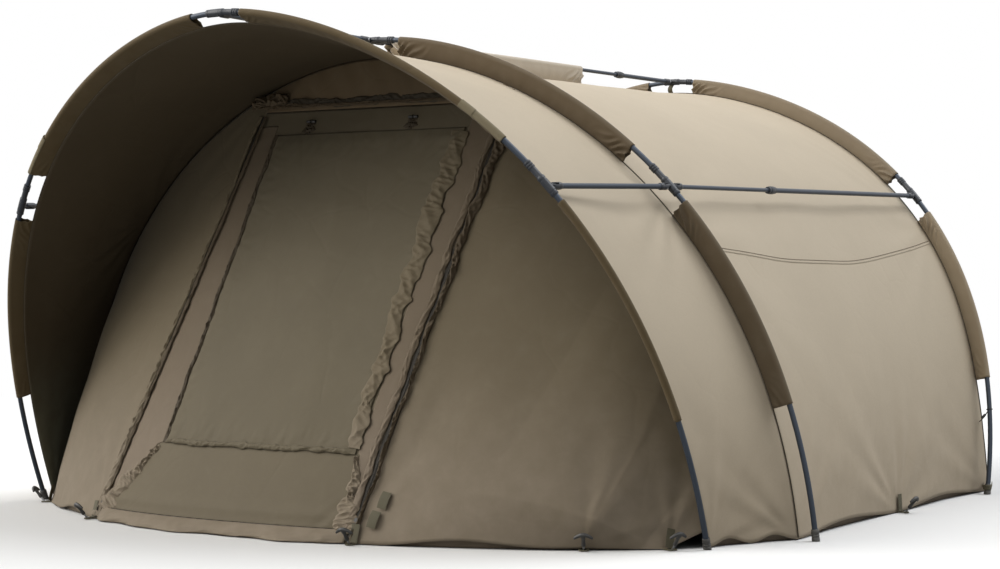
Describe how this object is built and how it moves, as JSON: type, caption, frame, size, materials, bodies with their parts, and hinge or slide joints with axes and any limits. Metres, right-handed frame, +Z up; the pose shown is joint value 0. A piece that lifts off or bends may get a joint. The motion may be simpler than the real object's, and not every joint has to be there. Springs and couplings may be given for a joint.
{
  "type": "bivvy tent",
  "caption": "Pitched angling bivvy tent: sprung tubular ribs, telescopic spreader bars, hooded fabric canopy, zipped front with a swinging door and window cover, pegged hem.",
  "frame": {"origin": "on the ground, under the middle of the whole tent's outline", "axes": "+X to the tent's right as seen from in front of the doorway, +Y from the doorway to the back wall, +Z up"},
  "size_m": [2.9534, 2.567, 1.5226],
  "materials": {
    "pole": "dark gunmetal satin enamel",
    "fitting": "moulded dark grey nylon",
    "canopy": "light khaki coated woven polyester",
    "sleeve": "brown heavy woven polyester",
    "front": "khaki brown coated woven polyester",
    "window": "olive brown coated woven polyester",
    "mesh": "black insect mesh",
    "peg": "black moulded plastic"
  },
  "bodies": {
    "shelter": {"back_wall": "canopy", "front_bay_left": "canopy", "front_bay_right": "canopy", "front_hub_left": "fitting", "front_hub_right": "fitting", "front_hub_top": "fitting", "front_leg_left": "pole", "front_leg_right": "pole", "front_pole_left": "pole", "front_pole_right": "pole", "front_sleeve": "sleeve", "left_wing": "front", "mid_hub_left": "fitting", "mid_hub_right": "fitting", "mid_hub_top": "fitting", "mid_leg_left": "pole", "mid_leg_right": "pole", "mid_pole_left": "pole", "mid_pole_right": "pole", "mid_sleeve": "sleeve", "peg_corner_left": "peg", "peg_corner_right": "peg", "peg_door_left": "peg", "peg_door_right": "peg", "peg_side_left": "peg", "peg_side_right": "peg", "peg_wing": "peg", "rear_bar_top_outer": "pole", "rear_bay_left": "canopy", "rear_bay_right": "canopy", "rear_bay_roof": "canopy", "rear_hub_left": "fitting", "rear_hub_right": "fitting", "rear_hub_top": "fitting", "rear_leg_left": "pole", "rear_leg_right": "pole", "rear_pole_left": "pole", "rear_pole_right": "pole", "rear_sleeve": "sleeve", "right_wing": "front", "top_bar_sleeve": "sleeve", "valance": "front"},
    "front_bar_left": {"front_bar_left": "pole"},
    "front_bar_top": {"front_bar_top": "pole"},
    "front_bar_right": {"front_bar_right": "pole"},
    "rear_bar_left": {"rear_bar_left_outer": "pole"},
    "rear_bar_left_inner": {"rear_bar_left_inner": "pole"},
    "rear_bar_left_collar": {"rear_bar_left_collar": "fitting"},
    "rear_bar_top_inner": {"rear_bar_top_inner": "pole"},
    "rear_bar_top_collar": {"rear_bar_top_collar": "fitting"},
    "rear_bar_right": {"rear_bar_right_outer": "pole"},
    "rear_bar_right_inner": {"rear_bar_right_inner": "pole"},
    "rear_bar_right_collar": {"rear_bar_right_collar": "fitting"},
    "door": {"door_panel": "front", "window_mesh": "mesh"},
    "window_cover": {"window_cover": "window"},
    "zip_slider_left": {"zip_slider_left": "peg"},
    "toggle_left": {"toggle_left": "peg"},
    "zip_slider_right": {"zip_slider_right": "peg"},
    "toggle_right": {"toggle_right": "peg"}
  },
  "joints": [
    {"name": "front_bar_left_swing", "type": "hinge", "parent": "shelter", "child": "front_bar_left", "pos_m": [-1.05614, -0.54164, 1.00063], "axis": [-0.6768, -0.0258, -0.7357], "range_deg": [0, 90]},
    {"name": "front_bar_top_swing", "type": "hinge", "parent": "shelter", "child": "front_bar_top", "pos_m": [0, -0.58532, 1.49083], "axis": [-1, 0, 0], "range_deg": [0, 90]},
    {"name": "front_bar_right_swing", "type": "hinge", "parent": "shelter", "child": "front_bar_right", "pos_m": [1.05614, -0.54164, 1.00063], "axis": [-0.6768, 0.0258, 0.7357], "range_deg": [0, 90]},
    {"name": "rear_bar_left_swing", "type": "hinge", "parent": "shelter", "child": "rear_bar_left", "pos_m": [-1.03416, 1.16349, 1.01767], "axis": [-0.6774, 0.0167, -0.7354], "range_deg": [0, 90]},
    {"name": "rear_bar_left_telescope", "type": "slide", "parent": "rear_bar_left", "child": "rear_bar_left_inner", "axis": [0.0141, 0.9999, 0.0098], "range_m": [0, 0.44]},
    {"name": "rear_bar_left_collar_twist", "type": "hinge", "parent": "rear_bar_left", "child": "rear_bar_left_collar", "pos_m": [-1.04914, 0.1033, 1.00731], "axis": [-0.0141, -0.9999, -0.0098], "range_deg": [0, 90]},
    {"name": "rear_bar_top_telescope", "type": "slide", "parent": "shelter", "child": "rear_bar_top_inner", "axis": [0, 1, -0.0028], "range_m": [0, 0.17]},
    {"name": "rear_bar_top_collar_twist", "type": "hinge", "parent": "shelter", "child": "rear_bar_top_collar", "pos_m": [0, 0.88987, 1.48607], "axis": [0, -1, 0.0028], "range_deg": [0, 90]},
    {"name": "rear_bar_right_swing", "type": "hinge", "parent": "shelter", "child": "rear_bar_right", "pos_m": [1.03416, 1.16349, 1.01767], "axis": [-0.6774, -0.0167, 0.7354], "range_deg": [0, 90]},
    {"name": "rear_bar_right_telescope", "type": "slide", "parent": "rear_bar_right", "child": "rear_bar_right_inner", "axis": [-0.0141, 0.9999, 0.0098], "range_m": [0, 0.44]},
    {"name": "rear_bar_right_collar_twist", "type": "hinge", "parent": "rear_bar_right", "child": "rear_bar_right_collar", "pos_m": [1.04914, 0.1033, 1.00731], "axis": [0.0141, -0.9999, -0.0098], "range_deg": [0, 90]},
    {"name": "door_swing", "type": "hinge", "parent": "shelter", "child": "door", "pos_m": [0.05463, -0.56676, 1.2789], "axis": [-0.9998, -0.0194, 0.0105], "range_deg": [0, 50]},
    {"name": "window_cover_swing", "type": "hinge", "parent": "door", "child": "window_cover", "pos_m": [0.02016, -0.60451, 1.20344], "axis": [-0.9999, -0.0127, 0.0097], "range_deg": [0, 25]},
    {"name": "zip_left_run", "type": "slide", "parent": "door", "child": "zip_slider_left", "axis": [0.1955, 0.3605, 0.912], "range_m": [0, 1.311]},
    {"name": "toggle_left_turn", "type": "hinge", "parent": "door", "child": "toggle_left", "pos_m": [-0.22137, -0.59491, 1.24575], "axis": [0.0221, -0.8995, 0.4363], "range_deg": [-80, 80]},
    {"name": "zip_right_run", "type": "slide", "parent": "door", "child": "zip_slider_right", "axis": [0.1055, 0.4267, 0.8982], "range_m": [0, 1.321]},
    {"name": "toggle_right_turn", "type": "hinge", "parent": "door", "child": "toggle_right", "pos_m": [0.18323, -0.58833, 1.24158], "axis": [0.0221, -0.8995, 0.4363], "range_deg": [-80, 80]}
  ]
}
